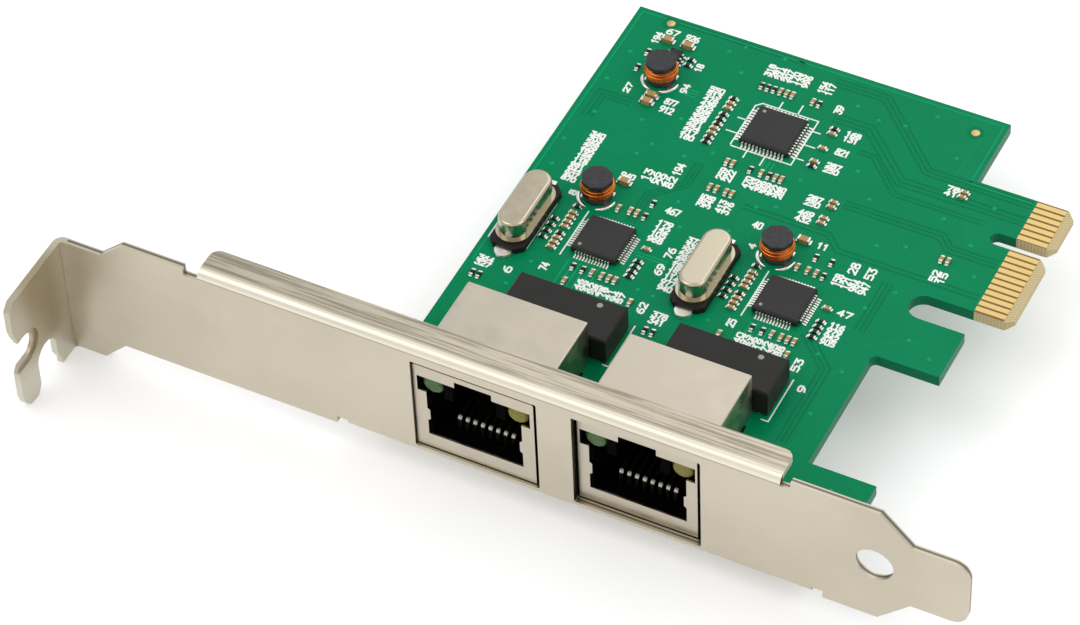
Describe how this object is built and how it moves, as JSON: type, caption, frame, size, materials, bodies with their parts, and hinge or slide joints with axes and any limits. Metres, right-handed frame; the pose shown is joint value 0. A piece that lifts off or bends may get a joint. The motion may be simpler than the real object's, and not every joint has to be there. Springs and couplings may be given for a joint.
{
  "type": "network interface card",
  "caption": "Expansion card with a low green circuit board, a full-height folded steel bracket, two modular network jacks and a short card-edge connector.",
  "frame": {"origin": "corner where the outer face of the bracket's screw tab, the outer face of the bracket and the solder-side edge of its body meet", "axes": "+X along the bracket from the screw tab to the tongue, which is also the way the card is pushed into its slot; +Y from the bracket's outer face back over the board; +Z out of the board's component side"},
  "size_m": [0.12, 0.0848, 0.0217],
  "materials": {
    "bracket": "satin nickel plate",
    "capacitors_large": "fired",
    "capacitors_small": "fired",
    "circuit_board": "glossy solder mask",
    "controller_left_body": "moulded",
    "controller_left_leads": "tinned",
    "controller_right_body": "moulded",
    "controller_right_leads": "tinned",
    "crystal_left_base": "moulded",
    "crystal_left_can": "drawn can",
    "crystal_left_leads": "tinned",
    "crystal_right_base": "moulded",
    "crystal_right_can": "drawn can",
    "crystal_right_leads": "tinned",
    "edge_contacts_component_side": "gold plated",
    "edge_contacts_solder_side": "gold plated",
    "inductor_far_core": "ferrite",
    "inductor_far_terminals": "tinned",
    "inductor_far_winding": "enamelled copper wire",
    "inductor_left_core": "ferrite",
    "inductor_left_terminals": "tinned",
    "inductor_left_winding": "enamelled copper wire",
    "inductor_right_core": "ferrite",
    "inductor_right_terminals": "tinned",
    "inductor_right_winding": "enamelled copper wire",
    "jack_left_contacts": "gold plated",
    "jack_left_housing": "moulded",
    "jack_left_lamp_green": "clear tinted",
    "jack_left_lamp_yellow": "clear tinted",
    "jack_left_shield": "bright plated",
    "jack_right_contacts": "gold plated",
    "jack_right_housing": "moulded",
    "jack_right_lamp_green": "clear tinted",
    "jack_right_lamp_yellow": "clear tinted",
    "jack_right_shield": "bright plated",
    "magnetics_left_body": "moulded",
    "magnetics_left_leads": "tinned",
    "magnetics_right_body": "moulded",
    "magnetics_right_leads": "tinned",
    "regulator_body": "moulded",
    "regulator_leads": "tinned",
    "resistors_small": "fired",
    "screw_left": "plated",
    "screw_right": "plated",
    "spacer_left": "plated",
    "spacer_right": "plated",
    "switch_body": "moulded",
    "switch_leads": "tinned"
  },
  "bodies": {
    "root": {"bracket": "bracket", "capacitors_large": "capacitors_large", "capacitors_small": "capacitors_small", "circuit_board": "circuit_board", "controller_left_body": "controller_left_body", "controller_left_leads": "controller_left_leads", "controller_right_body": "controller_right_body", "controller_right_leads": "controller_right_leads", "crystal_left_base": "crystal_left_base", "crystal_left_can": "crystal_left_can", "crystal_left_leads": "crystal_left_leads", "crystal_right_base": "crystal_right_base", "crystal_right_can": "crystal_right_can", "crystal_right_leads": "crystal_right_leads", "edge_contacts_component_side": "edge_contacts_component_side", "edge_contacts_solder_side": "edge_contacts_solder_side", "inductor_far_core": "inductor_far_core", "inductor_far_terminals": "inductor_far_terminals", "inductor_far_winding": "inductor_far_winding", "inductor_left_core": "inductor_left_core", "inductor_left_terminals": "inductor_left_terminals", "inductor_left_winding": "inductor_left_winding", "inductor_right_core": "inductor_right_core", "inductor_right_terminals": "inductor_right_terminals", "inductor_right_winding": "inductor_right_winding", "jack_left_contacts": "jack_left_contacts", "jack_left_housing": "jack_left_housing", "jack_left_lamp_green": "jack_left_lamp_green", "jack_left_lamp_yellow": "jack_left_lamp_yellow", "jack_left_shield": "jack_left_shield", "jack_right_contacts": "jack_right_contacts", "jack_right_housing": "jack_right_housing", "jack_right_lamp_green": "jack_right_lamp_green", "jack_right_lamp_yellow": "jack_right_lamp_yellow", "jack_right_shield": "jack_right_shield", "magnetics_left_body": "magnetics_left_body", "magnetics_left_leads": "magnetics_left_leads", "magnetics_right_body": "magnetics_right_body", "magnetics_right_leads": "magnetics_right_leads", "regulator_body": "regulator_body", "regulator_leads": "regulator_leads", "resistors_small": "resistors_small", "screw_left": "screw_left", "screw_right": "screw_right", "spacer_left": "spacer_left", "spacer_right": "spacer_right", "switch_body": "switch_body", "switch_leads": "switch_leads"}
  },
  "joints": []
}
